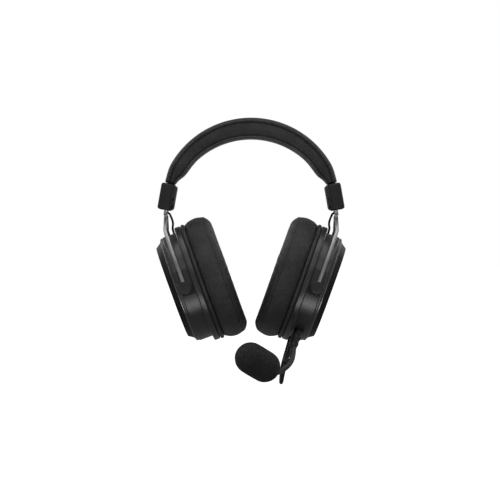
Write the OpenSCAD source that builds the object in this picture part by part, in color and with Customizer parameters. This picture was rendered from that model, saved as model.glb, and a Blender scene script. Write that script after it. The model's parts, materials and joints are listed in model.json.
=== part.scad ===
// Over-ear headset: sprung headband, sliding yokes, tilting ear cups, plug-in microphone and a tied cord.
// Origin: middle of the headband pad's underside, where it rests on the head. The wearer faces -Y,
// +X is the wearer's left and +Z is up.

/* [Headband] */
// Radius of the pad's underside, seen from the front
pad_inner_r = 69.3; // [69:0.1:69.6]
// Radius of the pad's top
pad_outer_r = 80.2; // [79.6:0.1:80.6]
// Depth of the pad, front to back
pad_depth = 36; // [34:1:38]
// Radius of the steel band inside the pad
spring_r = 70.2; // [70.1:0.05:70.3]
// Width of the steel band
spring_w = 18; // [16:1:18]

/* [Slider] */
// Travel of each yoke out of its housing
slider_travel = 24; // [18:1:24]
// Lean of each housing, top inwards
housing_lean = 10; // [10:1:10]
// Width of a housing, seen from the front
housing_w = 14; // [14:0.5:15]
// Depth of a housing, front to back
housing_depth = 30; // [30:1:32]
// Length of a housing along its slide
housing_len = 23.2; // [23:0.2:24]

/* [Yoke] */
// Thickness of the yoke's metal
plate_t = 3; // [2.6:0.1:3]
// Front to back half-width of the fork, outside
fork_y = 46.3; // [46.3:0.1:47]
// Height of the fork's crown above the pivots
fork_h = 66.3; // [66:0.1:67]
// Diameter of the round eye at each pivot
eye_d = 10.4; // [10:0.1:10.8]
// Diameter of a pivot pin
pin_d = 4; // [4:0.1:4]

/* [Ear cup] */
// Tilt of each cup, bottom inwards
cup_tilt = 20; // [20:1:20]
// Length of the cup's straight sides
cup_straight = 13; // [12:1:13]
// Half-width of the barrel
barrel_r = 41; // [40.8:0.1:41]
// Half-width of the flange ring
flange_r = 45.4; // [45:0.1:45.6]
// Half-width of the cushion at its fullest
cushion_r = 47.8; // [47:0.1:48]
// Half-width of the opening for the ear
ear_r = 22.5; // [21:0.5:24]
// Radius of the loudspeaker
driver_r = 25; // [22:0.5:25]

/* [Microphone] */
// Angle of the socket, forward of straight down the cup
socket_angle = 35; // [33:1:37]
// Diameter of the gooseneck
gooseneck_d = 4.7; // [4.4:0.1:5]
// Diameter of the foam windscreen
foam_d = 27; // [26:0.5:28]
// Diameter of a 3.5 mm jack plug's pin
jack_d = 3.5; // [3.5:0.1:3.5]

/* [Cord] */
// Diameter of the cord
cord_d = 3.5; // [3.5:0.1:3.5]
// Radius of the coil's middle turn
coil_r = 20; // [20:0.5:20]

/* [Hidden] */
$fn = 96;

run_gap = 0.3;      // between parts that move past each other
snug = 0.1;         // around a part held in a pocket
pivot_play = 0.05;  // radial, pin in bush

// Headband, seen from the front: arcs about points on the centre line
pad_inner_z = -pad_inner_r;
pad_outer_z = -62;
roll_t = 2.7;       // thickness of the underside roll
pad_step = 2.5;     // how far the pad's edges fall away
pad_end_angle = 10; // steel band's ends, above level
spring_t = 0.9;
wire_d = 1.4;
link_d = 2;
band_wire_r = spring_r + 1;
wire_y = 11.5;

// Slider housings
housing_at = [72.4, 0, -50.4];
housing_top = housing_len / 2;
housing_round = 3;
lid_t = 2.1;
lid_u = -housing_w / 2 + lid_t;
strip_u = -0.6;
strip_w = 14;
strip_top = slider_travel;
notch_pitch = 2.4;
notch_r = 0.5;
link_u = -1.5;
link_slot_d = 2.6;
lid_screw_d = 1.6;
lid_screw_spots = [[-11.5, -1], [-11.5, -7.5], [11.5, 2.5], [0, -9.5]];

// Pivots and cups: x down the cup, y forward, z towards the ear
pivot_at = [56.1, 0, -128.8];
cup_half = cup_straight / 2;
bend_h = 51.8;
fork_t = 4;
fork_arc = fork_h - fork_y;
bush_d = 6.8;
bush_lip = 1.5;
eye_in = barrel_r + 0.8;
pin_head_t = 1;
cap_a = -13.3;
ring_a = -8.4;
barrel_a = -7.6;
flange_a = 7.3;
flange_end = 12.6;
cushion_back = 15.4;
cushion_face = 38.5;
wall = 2.4;
pocket_deep = 1;
pocket_up = 30;     // the flat recess round each pivot
pocket_down = 7.2;
pocket_a = -4.1;
screw_spot = [cup_half + 17.7, 30.7];
boss_r = 3.6;

// Microphone, in the cup's directions
jack_len = 14;
jack_tip = 1.4;
socket_r = 4.2;
socket_a = 1.5;
socket_in = 24;
boot_r = 4.1;
boot_grip = 8;
boot_len = 17;
flex_at = [30.2, -49.2, -195.9];
flex_axis = [0.671, -0.741, 0];
gooseneck_low = [[36.2, -33.4, -179.1], [35.9, -38.6, -185.2], [34.7, -43, -190.1], [32.3, -46.8, -193.9]];
gooseneck_high = [[30.2, -49.2, -195.9], [26.9, -51.6, -198.3], [23.3, -54.4, -200], [20.6, -56.8, -200.4],
    [18.4, -58.9, -199.3]];
mic_aim = [-0.65, -0.639, 0.414];
foam_back = [11.3, -66, -194.75];
foam_straight = 18;
holder_r = 6;

// Cord: the relief follows the cup, then the cord hangs in a loop behind it and rises to the coil
relief_at = [46.7, -8, 2.1];
relief_len = 24;
cord_route = [[30, 8, -194.7], [29.1, 8.2, -199.4], [27.6, 9.6, -206], [26.8, 13, -210.8],
    [26.4, 17.5, -212.6], [26.4, 22.2, -210.8], [26.8, 25.6, -206], [27.6, 27.6, -199.5],
    [29.6, 29.8, -191.5], [32, 32.2, -183.5], [34.2, 34.8, -175.5], [35.6, 37.6, -167.5],
    [35.4, 40.6, -159.5], [33.9, 44, -151.5], [31.6, 47.3, -143.8], [29.2, 49.9, -136.8],
    [28, 51.1, -132.2]];
coil_at = [47.5, 59, -112];
coil_rings = 3;     // turns side by side across the bundle
coil_layers = 4;    // and along it
tail_route = [[53.5, 64.3, -89.3], [57.4, 66, -91.4], [60.3, 68.6, -95.6], [61.6, 70.6, -101],
    [61.7, 71.1, -107]];
plug_at = [61.7, 71.1, -107];
grip_len = 13;
grip_r = 3.4;
tie_at = [-10.6, -54.35, -4.45];
tie_inner = [14.9, 24.4];
tie_w = 8;
tie_t = 0.8;
tie_round = 1.2;

function arc(cx, cy, r, from, to, n = 8) =
    [for (i = [0:n]) let (t = from + (to - from) * i / n) [cx + r * cos(t), cy + r * sin(t)]];

function unit(v) = v / norm(v);

function heading(path, i) =
    unit(path[min(i + 1, len(path) - 1)] - path[max(i - 1, 0)]);

// A round tube along a list of points; side is a direction the path never takes
module tube(path, d, sides = 8, side = [1, 0, 0]) {
    n = len(path);
    points = [for (i = [0:n - 1]) let (t = heading(path, i), p = unit(cross(side, t)), q = cross(t, p))
        for (j = [0:sides - 1]) path[i] + d / 2 * (p * cos(360 * j / sides) + q * sin(360 * j / sides))];
    walls = [for (i = [0:n - 2], j = [0:sides - 1]) let (k = (j + 1) % sides)
        [i * sides + j, (i + 1) * sides + j, (i + 1) * sides + k, i * sides + k]];
    first = [for (j = [0:sides - 1]) j];
    last = [for (j = [sides - 1:-1:0]) (n - 1) * sides + j];
    polyhedron(points, concat(walls, [first, last]), convexity = 4);
}

// An outline of [distance out, height] turned round the cup's long shape
module oblong(outline, straight = cup_straight) {
    for (end = [-1, 1])
        translate([end * straight / 2, 0, 0]) rotate([0, 0, -90 * end]) rotate_extrude(angle = 180)
            polygon(outline);
    rotate([90, 0, 90]) linear_extrude(straight, center = true) {
        polygon(outline);
        mirror([1, 0]) polygon(outline);
    }
}

module rounded(size, r) {
    square([size[0] - 2 * r, size[1]], center = true);
    square([size[0], size[1] - 2 * r], center = true);
    for (x = [-1, 1], y = [-1, 1]) translate([x * (size[0] / 2 - r), y * (size[1] / 2 - r)]) circle(r);
}

module on_right() { mirror([1, 0, 0]) children(); }

module in_housing() { translate(housing_at) rotate([0, -housing_lean, 0]) children(); }

module in_cup() { translate(pivot_at) rotate([180, 90 + cup_tilt, 0]) children(); }

module along_socket() {
    in_cup() translate([cup_half, 0, socket_a]) rotate([0, 0, socket_angle]) rotate([0, 90, 0]) children();
}

// A child built along +Z, laid along a direction
module aimed(at, dir) {
    translate(at) rotate([0, acos(dir[2] / norm(dir)), atan2(dir[1], dir[0])]) children();
}

// ---- Headband ----

module pad_slab(outer_r, inner_r, outer_z, inner_z, depth) {
    rotate([90, 0, 0]) linear_extrude(depth, center = true) difference() {
        translate([0, outer_z]) circle(outer_r);
        translate([0, inner_z]) circle(inner_r);
        for (m = [0, 1]) mirror([m, 0]) translate([housing_at[0], housing_at[2]]) rotate(housing_lean)
            translate([-pad_outer_r * 2.5, housing_top + snug - pad_outer_r * 2])
                square([pad_outer_r * 3, pad_outer_r * 2]);
    }
}

module band_arc() {
    translate([0, 0, pad_outer_z]) rotate([90, 0, 0]) rotate([0, 0, pad_end_angle])
        rotate_extrude(angle = 180 - 2 * pad_end_angle, $fn = 180) children();
}

module headband_spring() {
    color("silver") band_arc() translate([spring_r, 0]) square([spring_t, spring_w], center = true);
}

module headband_wire() {
    color("dimgray") band_arc() translate([band_wire_r, wire_y]) circle(d = wire_d, $fn = 24);
}

module headband_cover() {
    roll_r = pad_inner_r + roll_t;
    color([0.17, 0.16, 0.16]) difference() {
        union() {
            pad_slab(pad_outer_r, roll_r, pad_outer_z, pad_inner_z, pad_depth - 2 * pad_step);
            pad_slab(pad_outer_r - pad_step, roll_r, pad_outer_z, pad_inner_z, pad_depth);
        }
        band_arc() {
            translate([spring_r, 0]) square([spring_t + 2 * snug, spring_w + 2 * snug], center = true);
            translate([band_wire_r, wire_y]) circle(d = wire_d + 2 * snug, $fn = 24);
        }
        for (m = [0, 1]) mirror([m, 0, 0]) in_housing() {
            translate([strip_u, 0, housing_top])
                cube([plate_t + 2 * run_gap, strip_w + 2 * run_gap, 2 * (strip_top - housing_top + 1)],
                    center = true);
            translate([link_u, wire_y, housing_top])
                cylinder(d = link_slot_d, h = 12, center = true, $fn = 32);
        }
    }
}

module headband_cushion() {
    roll_r = pad_inner_r + roll_t - snug;
    color([0.2, 0.19, 0.19]) union() {
        pad_slab(roll_r, pad_inner_r, pad_inner_z, pad_inner_z, pad_depth - 2 * pad_step);
        pad_slab(roll_r, pad_inner_r + roll_t / 2, pad_inner_z, pad_inner_z, pad_depth);
    }
}

// ---- Slider housings ----

module housing_block() {
    intersection() {
        rotate([90, 0, 0]) linear_extrude(housing_depth, center = true)
            rounded([housing_w, housing_len], housing_round);
        rotate([90, 0, 90]) linear_extrude(housing_w, center = true)
            rounded([housing_depth, housing_len], housing_round);
    }
}

module slider_housing() {
    color([0.13, 0.13, 0.13]) in_housing() difference() {
        housing_block();
        translate([-housing_w / 2 - 1, -housing_depth, -housing_len])
            cube([lid_t + 1, 2 * housing_depth, 2 * housing_len]);
        translate([strip_u, 0, 0]) cube([plate_t + 2 * run_gap, strip_w + 2 * run_gap, housing_len + 2],
            center = true);
        translate([lid_u, -spring_w / 2 - snug, -1]) cube([2.7, spring_w + 2 * snug, housing_len]);
        translate([lid_u, -wire_y - 1.2, -4]) cube([4.2, 2.4, housing_len]);
        translate([link_u, wire_y, 0])
            cylinder(d = link_slot_d, h = housing_len + 2, center = true, $fn = 32);
        translate([strip_u + plate_t / 2, -5, -7]) cube([3, 10, 14]);
        for (s = lid_screw_spots) translate([lid_u, s[0], s[1]]) rotate([0, 90, 0])
            cylinder(d = lid_screw_d + snug, h = 10, center = true, $fn = 24);
    }
}

module slider_lid() {
    color([0.2, 0.2, 0.2]) in_housing() difference() {
        intersection() {
            housing_block();
            translate([-housing_w / 2, -housing_depth, -housing_len])
                cube([lid_t - snug / 2, 2 * housing_depth, 2 * housing_len]);
        }
        for (s = lid_screw_spots) translate([-housing_w / 2, s[0], s[1]]) rotate([0, 90, 0]) {
            cylinder(d = lid_screw_d + 2 * snug, h = 3 * lid_t, center = true, $fn = 24);
            cylinder(d = 2 * lid_screw_d + 2 * snug, h = lid_t, center = true, $fn = 24);
        }
    }
}

module lid_screws() {
    color([0.1, 0.1, 0.1]) in_housing() for (s = lid_screw_spots)
        translate([-housing_w / 2 + 0.1, s[0], s[1]]) rotate([0, 90, 0]) {
            cylinder(d = 2 * lid_screw_d, h = lid_t / 2 - 0.1, $fn = 24);
            cylinder(d = lid_screw_d, h = 4, $fn = 24);
        }
}

module detent_spring() {
    face = strip_u + plate_t / 2 + snug;
    color("silver") in_housing() {
        translate([face + 1.2, -4, -6]) cube([0.4, 8, 12]);
        translate([face + 0.9, 0, 0]) rotate([90, 0, 0]) cylinder(r = 0.8, h = 8, center = true, $fn = 24);
    }
}

// ---- Yokes ----

module fork_outline() {
    difference() {
        union() {
            translate([0, fork_arc]) circle(fork_y);
            translate([-fork_y, 0]) square([2 * fork_y, fork_arc]);
        }
        translate([0, fork_arc]) circle(fork_y - fork_t);
        translate([-fork_y + fork_t, -1]) square([2 * (fork_y - fork_t), fork_arc + 1]);
        translate([-fork_y - 1, -fork_y]) square([2 * fork_y + 2, fork_y]);
    }
    translate([-strip_w, fork_h - 6]) square([2 * strip_w, 5.4]);
}

module yoke() {
    color([0.45, 0.45, 0.46]) difference() {
        union() {
            in_cup() rotate([0, 0, 90]) linear_extrude(plate_t, center = true) intersection() {
                fork_outline();
                translate([-fork_y - 1, -1]) square([2 * fork_y + 2, bend_h + 1]);
            }
            translate([pivot_at[0] + bend_h * sin(cup_tilt), 0, pivot_at[2] + bend_h * cos(cup_tilt)]) {
                rotate([90, 0, 90]) linear_extrude(plate_t, center = true) translate([0, -bend_h])
                    intersection() {
                        fork_outline();
                        translate([-fork_y - 1, bend_h - 0.4]) square([2 * fork_y + 2, fork_h]);
                    }
            }
            in_housing() translate([strip_u - plate_t / 2, -strip_w / 2, -housing_top - 4.6])
                cube([plate_t, strip_w, housing_top + 4.6 + strip_top]);
            in_cup() for (f = [1, -1]) translate([0, f * (eye_in + fork_y) / 2, 0]) rotate([90, 0, 0])
                cylinder(d = eye_d, h = fork_y - eye_in, center = true);
        }
        in_cup() rotate([90, 0, 0]) cylinder(d = pin_d + snug, h = 3 * fork_y, center = true, $fn = 48);
        in_housing() for (i = [0:9]) translate([strip_u + plate_t / 2, 0, i * notch_pitch])
            rotate([90, 0, 0]) cylinder(r = notch_r, h = strip_w + 2, center = true, $fn = 24);
    }
}

module pivot_pins() {
    color([0.55, 0.55, 0.56]) in_cup() for (f = [1, -1]) rotate([-90 * f, 0, 0]) {
        translate([0, 0, 34]) cylinder(d = pin_d, h = fork_y - 34, $fn = 48);
        translate([0, 0, fork_y]) cylinder(d = eye_d + 0.4, h = pin_head_t);
    }
}

module link_wire() {
    wire_top = [housing_at[0] - 12 * sin(housing_lean), 0, housing_at[2] + 12 * cos(housing_lean)];
    off = [link_u * cos(housing_lean), wire_y, link_u * sin(housing_lean)];
    color([0.08, 0.08, 0.08]) tube([
        wire_top + off, housing_at + off,
        housing_at + off + [12.4 * sin(housing_lean), 0, -12.4 * cos(housing_lean)],
        [71.3, wire_y, -64.8], [70.2, wire_y, -67], [68.7, wire_y, -70.8], [68.2, wire_y, -74.2],
        [68.5, wire_y - 1, -77.6], [67.4, wire_y - 2, -82]], link_d, 8, [0, 1, 0]);
}

// ---- Ear cups ----

module cup_housing(socket = false) {
    color([0.28, 0.28, 0.28]) in_cup() difference() {
        union() {
            oblong([[33, barrel_a], [barrel_r - 1.6, barrel_a], [barrel_r - 0.6, barrel_a + 1],
                [barrel_r - 0.6, -5], [barrel_r, -4.4], [barrel_r, flange_a], [barrel_r - wall, flange_a],
                [barrel_r - wall, barrel_a + 2.2], [33, barrel_a + 2.2]]);
            for (x = [-1, 1], y = [-1, 1]) translate([x * screw_spot[0], y * screw_spot[1], barrel_a + 2])
                cylinder(r = boss_r, h = 5.8 - barrel_a - 2, $fn = 32);
            for (f = [1, -1]) rotate([-90 * f, 0, 0]) translate([0, 0, 33])
                cylinder(d = bush_d + 5, h = barrel_r - 33 - 1.6, $fn = 48);
        }
        for (x = [-1, 1], y = [-1, 1]) translate([x * screw_spot[0], y * screw_spot[1], -3])
            cylinder(d = 2.2, h = 20, $fn = 24);
        for (f = [1, -1]) {
            translate([-pocket_up, f > 0 ? barrel_r - pocket_deep : -barrel_r - 1, pocket_a])
                cube([pocket_up + pocket_down, pocket_deep + 1, flange_a - 0.6 - pocket_a]);
            rotate([-90 * f, 0, 0]) cylinder(d = bush_d + 0.04, h = 2 * barrel_r, $fn = 48);
        }
        if (socket) {
            translate([cup_half, 0, socket_a]) rotate([0, 0, socket_angle]) rotate([0, 90, 0])
                cylinder(r = socket_r + 0.04, h = 2 * barrel_r, $fn = 48);
            translate([relief_at[0] - 6, relief_at[1], relief_at[2]]) rotate([0, 90, 0])
                cylinder(r = 3.04, h = 12, $fn = 32);
        }
    }
}

module outer_cap() {
    color([0.1, 0.1, 0.1]) in_cup() {
        oblong([[0, cap_a], [33.4, cap_a], [35, cap_a + 0.8], [37.3, ring_a], [34.8, ring_a],
            [33, cap_a + 2], [0, cap_a + 2]]);
        for (v = [-12, 12]) translate([v, 0, cap_a + 1.5]) cylinder(r = 2, h = 6.9, $fn = 32);
    }
}

module trim_ring() {
    color([0.6, 0.6, 0.62]) in_cup()
        oblong([[33.2, ring_a], [38, ring_a], [38.2, ring_a + 0.3], [38.2, barrel_a], [33.2, barrel_a]]);
}

module baffle() {
    spigot = barrel_r - wall - snug;
    color([0.22, 0.22, 0.22]) in_cup() difference() {
        oblong([[0, 9.6], [spigot - 2, 9.6], [spigot - 2, 5.9], [spigot, 5.9], [spigot, flange_a],
            [flange_r - 0.8, flange_a], [flange_r, flange_a + 0.8], [flange_r, flange_end - 0.8],
            [flange_r - 0.8, flange_end], [0, flange_end]]);
        translate([0, 0, 5]) cylinder(r = driver_r + snug, h = 10);
        for (x = [-1, 1], y = [-1, 1]) translate([x * screw_spot[0], y * screw_spot[1], 5]) {
            cylinder(d = 2.6, h = 10, $fn = 24);
            translate([0, 0, 6]) cylinder(d = 4.8, h = 10, $fn = 24);
        }
    }
}

module cup_screws() {
    color([0.3, 0.3, 0.3]) in_cup() for (x = [-1, 1], y = [-1, 1])
        translate([x * screw_spot[0], y * screw_spot[1], -1]) {
            cylinder(d = 2, h = 13, $fn = 24);
            translate([0, 0, 12.05]) cylinder(d = 4.4, h = 1.3, $fn = 24);
        }
}

module pivot_bushes() {
    color([0.7, 0.65, 0.4]) in_cup() for (f = [1, -1]) rotate([-90 * f, 0, 0]) difference() {
        union() {
            translate([0, 0, 33.2]) cylinder(d = bush_d, h = barrel_r - pocket_deep - 33.2, $fn = 48);
            translate([0, 0, barrel_r - pocket_deep]) cylinder(d = bush_d + 1.2, h = bush_lip, $fn = 48);
        }
        translate([0, 0, 30]) cylinder(d = pin_d + 2 * pivot_play, h = 20, $fn = 48);
    }
}

module driver_frame() {
    color([0.35, 0.35, 0.33]) in_cup() rotate_extrude()
        polygon([[12.2, 4], [driver_r - 2, 4], [driver_r, 6], [driver_r, flange_end - snug],
            [driver_r - 3, flange_end - snug], [driver_r - 3, 6.4], [12.2, 6.4]]);
}

module driver_magnet() {
    color("gray") in_cup() rotate_extrude()
        polygon([[0, -0.6], [12, -0.6], [12, 8.2], [9.2, 8.2], [9.2, 3], [7.4, 3], [7.4, 8.2], [0, 8.2]]);
}

module diaphragm() {
    edge = driver_r - 3 - snug;
    color([0.75, 0.7, 0.55]) in_cup() rotate_extrude()
        polygon([[0, 11.4], [5, 11.1], [8, 10], [edge - 5, 10.8], [edge - 2.5, 11.6], [edge, 10.6],
            [edge, 10.2], [edge - 2.5, 11.2], [edge - 5, 10.4], [8.6, 9.6], [8.6, 6], [8, 6], [8, 9.6],
            [5, 10.7], [0, 11]]);
}

module driver_grille() {
    color([0.18, 0.18, 0.18]) in_cup() difference() {
        translate([0, 0, flange_end]) cylinder(r = driver_r + 3, h = 0.8);
        for (ring = [0:2]) for (i = [0:max(6 * ring - 1, 0)])
            rotate([0, 0, 60 * i / max(ring, 1)]) translate([7.5 * ring, 0, flange_end - 1])
                cylinder(r = 2, h = 3, $fn = 24);
    }
}

module acoustic_cloth() {
    color([0.09, 0.09, 0.09]) in_cup() oblong([[0, 15.05], [38, 15.05], [38, 15.35], [0, 15.35]]);
}

module cushion_ring() {
    color([0.15, 0.15, 0.15]) in_cup()
        oblong([[36, flange_end], [43.4, flange_end], [43.4, 15], [36, 15]]);
}

module ear_cushion() {
    color([0.16, 0.15, 0.15]) in_cup() oblong(concat(
        [[ear_r + 1.5, cushion_back], [43.6, cushion_back], [43.6, 13], [45.7, 13], [45.9, 16.4]],
        arc(cushion_r - 15, 28.5, 15, -42, 0, 5),
        arc(cushion_r - 6, cushion_face - 6, 6, 10, 90, 6),
        arc(ear_r + 6, cushion_face - 6, 6, 90, 180, 6)));
}

// ---- Microphone ----

module mic_socket() {
    color([0.1, 0.1, 0.1]) along_socket() difference() {
        translate([0, 0, socket_in]) cylinder(r = socket_r, h = barrel_r + 0.7 - socket_in, $fn = 48);
        translate([0, 0, socket_in + 1]) cylinder(d = jack_d + 2 * pivot_play, h = 30, $fn = 48);
    }
}

module jack_pin() {
    rotate_extrude($fn = 48)
        polygon([[0, 0], [0.7, 0], [jack_d / 2, jack_tip], [jack_d / 2, jack_len], [0, jack_len]]);
}

module mic_plug() {
    color([0.75, 0.7, 0.45]) along_socket() translate([0, 0, barrel_r + 1 - jack_len]) jack_pin();
}

module mic_boot() {
    start = barrel_r + 1;
    color([0.07, 0.07, 0.07]) along_socket() rotate_extrude($fn = 48)
        polygon([[0, start], [boot_r, start], [boot_r, start + boot_grip],
            [boot_r - 0.7, start + boot_grip + 0.5], [boot_r - 0.7, start + boot_len - 2],
            [boot_r - 1.2, start + boot_len], [0, start + boot_len]]);
}

module gooseneck_lower() {
    color([0.12, 0.12, 0.12]) tube(gooseneck_low, gooseneck_d, 12, [1, 0, 0.2]);
}

module gooseneck_upper() {
    color([0.12, 0.12, 0.12]) {
        tube(gooseneck_high, gooseneck_d, 12, [0.2, -0.2, 1]);
        aimed(flex_at, flex_axis) cylinder(d = gooseneck_d - 1.1, h = 3, center = true, $fn = 32);
    }
}

module mic_capsule_holder() {
    color([0.15, 0.15, 0.15]) aimed(foam_back, mic_aim) rotate_extrude($fn = 48)
        polygon([[0, -13], [3, -13], [holder_r, -9], [holder_r, 12], [holder_r - 1, 12], [holder_r - 1, 2],
            [0, 2]]);
}

module mic_capsule() {
    color("silver") aimed(foam_back, mic_aim) translate([0, 0, 2.1])
        cylinder(r = holder_r - 1.2, h = 8, $fn = 48);
}

module mic_windscreen() {
    r = foam_d / 2;
    inner = holder_r + 0.2;
    color([0.14, 0.14, 0.14]) aimed(foam_back, mic_aim) rotate_extrude()
        polygon(concat([[0, 12.4], [inner, 12.4], [inner, -12.3]], arc(0, 0, r, -60, 0, 8),
            arc(0, foam_straight, r, 0, 90, 10)));
}

module junction_board() {
    color([0.1, 0.35, 0.2]) in_cup() translate([-18, -12, cap_a + 8.4]) cube([36, 24, 1.2]);
}

// ---- Cord ----

module strain_relief() {
    color([0.06, 0.06, 0.06]) in_cup() translate(relief_at) rotate([0, 90, 0]) rotate_extrude($fn = 48)
        polygon([[0, -5], [3, -5], [3, 1], [4, 1], [4, 2.5], [2.9, 3.5], [2.7, 21], [2.1, relief_len],
            [0, relief_len]]);
}

module cord_run() {
    color([0.05, 0.05, 0.05]) tube(cord_route, cord_d, 8, [1, 0, 0]);
}

module cord_coil() {
    wide = cord_d * coil_rings;
    deep = cord_d * coil_layers;
    color([0.06, 0.06, 0.06]) translate(coil_at) rotate([90, 0, 0]) rotate_extrude()
        translate([coil_r, 0]) rounded([wide, deep], cord_d / 2);
}

module cord_tail() {
    color([0.05, 0.05, 0.05]) tube(tail_route, cord_d, 8, [1, 0, 0.3]);
}

module cord_tie() {
    color([0.15, 0.15, 0.16]) in_cup() translate(tie_at) rotate([0, 90, 0])
        linear_extrude(tie_w, center = true) difference() {
            rounded(tie_inner + 2 * [tie_t, tie_t], tie_round + tie_t);
            rounded(tie_inner, tie_round);
        }
}

module headset_plug() {
    color([0.75, 0.7, 0.45]) translate(plug_at - [0, 0, grip_len + jack_len]) jack_pin();
}

module headset_plug_grip() {
    color([0.07, 0.07, 0.07]) translate(plug_at - [0, 0, grip_len]) rotate_extrude($fn = 48)
        polygon([[0, 0], [grip_r, 0], [grip_r, 9], [2.2, grip_len], [0, grip_len]]);
}

headband_spring();
headband_cover();
headband_cushion();
headband_wire();
slider_housing();  // left_slider_housing
slider_lid();  // left_slider_lid
lid_screws();  // left_lid_screws
detent_spring();  // left_detent_spring
on_right() slider_housing();  // right_slider_housing
on_right() slider_lid();  // right_slider_lid
on_right() lid_screws();  // right_lid_screws
on_right() detent_spring();  // right_detent_spring
yoke();  // left_yoke
pivot_pins();  // left_pivot_pins
link_wire();  // left_link_wire
on_right() yoke();  // right_yoke
on_right() pivot_pins();  // right_pivot_pins
on_right() link_wire();  // right_link_wire
cup_housing(socket = true);  // left_cup_housing
outer_cap();  // left_outer_cap
trim_ring();  // left_trim_ring
baffle();  // left_baffle
pivot_bushes();  // left_pivot_bushes
driver_frame();  // left_driver_frame
driver_magnet();  // left_driver_magnet
diaphragm();  // left_diaphragm
driver_grille();  // left_driver_grille
acoustic_cloth();  // left_acoustic_cloth
cushion_ring();  // left_cushion_ring
ear_cushion();  // left_ear_cushion
cup_screws();  // left_cup_screws
on_right() cup_housing();  // right_cup_housing
on_right() outer_cap();  // right_outer_cap
on_right() trim_ring();  // right_trim_ring
on_right() baffle();  // right_baffle
on_right() pivot_bushes();  // right_pivot_bushes
on_right() driver_frame();  // right_driver_frame
on_right() driver_magnet();  // right_driver_magnet
on_right() diaphragm();  // right_diaphragm
on_right() driver_grille();  // right_driver_grille
on_right() acoustic_cloth();  // right_acoustic_cloth
on_right() cushion_ring();  // right_cushion_ring
on_right() ear_cushion();  // right_ear_cushion
on_right() cup_screws();  // right_cup_screws
mic_socket();
junction_board();
strain_relief();
mic_plug();
mic_boot();
gooseneck_lower();
gooseneck_upper();
mic_capsule_holder();
mic_capsule();
mic_windscreen();
cord_run();
cord_coil();
cord_tail();
cord_tie();
headset_plug();
headset_plug_grip();
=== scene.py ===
import json
import math

import bmesh
import bpy
from mathutils import Matrix, Vector, noise


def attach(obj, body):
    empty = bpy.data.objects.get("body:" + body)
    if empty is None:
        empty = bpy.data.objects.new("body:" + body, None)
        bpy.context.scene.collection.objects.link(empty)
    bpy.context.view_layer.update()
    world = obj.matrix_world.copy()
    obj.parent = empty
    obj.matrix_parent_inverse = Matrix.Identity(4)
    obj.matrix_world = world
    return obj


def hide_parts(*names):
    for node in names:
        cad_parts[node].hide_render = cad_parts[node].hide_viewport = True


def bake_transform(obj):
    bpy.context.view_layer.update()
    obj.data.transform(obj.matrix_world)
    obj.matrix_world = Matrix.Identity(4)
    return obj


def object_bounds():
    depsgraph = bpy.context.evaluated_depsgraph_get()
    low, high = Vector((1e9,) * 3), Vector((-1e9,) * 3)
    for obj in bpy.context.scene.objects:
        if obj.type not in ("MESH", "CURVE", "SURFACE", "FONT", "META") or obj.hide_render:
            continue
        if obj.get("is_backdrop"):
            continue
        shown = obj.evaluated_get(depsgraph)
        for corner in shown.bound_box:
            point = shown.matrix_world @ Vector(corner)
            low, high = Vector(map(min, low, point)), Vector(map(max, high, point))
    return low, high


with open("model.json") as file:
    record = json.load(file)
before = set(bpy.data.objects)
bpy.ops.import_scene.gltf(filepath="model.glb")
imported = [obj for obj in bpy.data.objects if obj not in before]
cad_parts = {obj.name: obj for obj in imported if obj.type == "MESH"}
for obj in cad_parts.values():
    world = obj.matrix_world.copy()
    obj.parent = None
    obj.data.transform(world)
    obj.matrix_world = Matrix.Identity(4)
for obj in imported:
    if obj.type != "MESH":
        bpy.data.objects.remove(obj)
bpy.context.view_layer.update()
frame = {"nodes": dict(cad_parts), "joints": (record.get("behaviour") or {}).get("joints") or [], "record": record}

nodes = frame["nodes"]
joints = {j["name"]: j for j in frame["joints"]}
mm = 0.001


# Camera, lights and floor

view = {"distance": 2.2, "height": -0.0961, "side": -0.0009, "lens": 182.1}

cameraData = bpy.data.cameras.new("camera")
cameraData.lens, cameraData.sensor_width = view["lens"], 36
cameraData.clip_start, cameraData.clip_end = 0.05, 60
camera = bpy.data.objects.new("camera", cameraData)
bpy.context.scene.collection.objects.link(camera)
camera.location = (view["side"], -view["distance"], view["height"])
camera.rotation_euler = (math.radians(90), 0, 0)
bpy.context.scene.camera = camera
bpy.context.scene.view_settings.view_transform = "Standard"


def softBox(name, place, aim, size, watts):
    light = bpy.data.lights.new(name, "AREA")
    light.shape, light.size, light.size_y, light.energy = "RECTANGLE", size[0], size[1], watts
    lamp = bpy.data.objects.new(name, light)
    bpy.context.scene.collection.objects.link(lamp)
    lamp.location = place
    lamp.rotation_euler = (Vector(aim) - Vector(place)).to_track_quat("-Z", "Y").to_euler()


middle = (0, 0, -0.11)
softBox("overhead", (0, -0.25, 1.1), middle, (1.4, 1.0), 8)
softBox("frontHigh", (0, -1.25, 0.66), middle, (1.5, 0.8), 4)
softBox("frontLow", (0, -1.15, -0.66), middle, (1.1, 0.5), 8.5)
softBox("leftSide", (-1.1, -0.1, 0.05), middle, (0.35, 1.2), 1.4)
softBox("rightSide", (1.1, -0.1, 0.05), middle, (0.35, 1.2), 1.4)
softBox("leftBack", (-0.9, 0.9, 0.3), middle, (0.5, 1.2), 3)
softBox("rightBack", (0.9, 0.9, 0.3), middle, (0.5, 1.2), 3)

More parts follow.
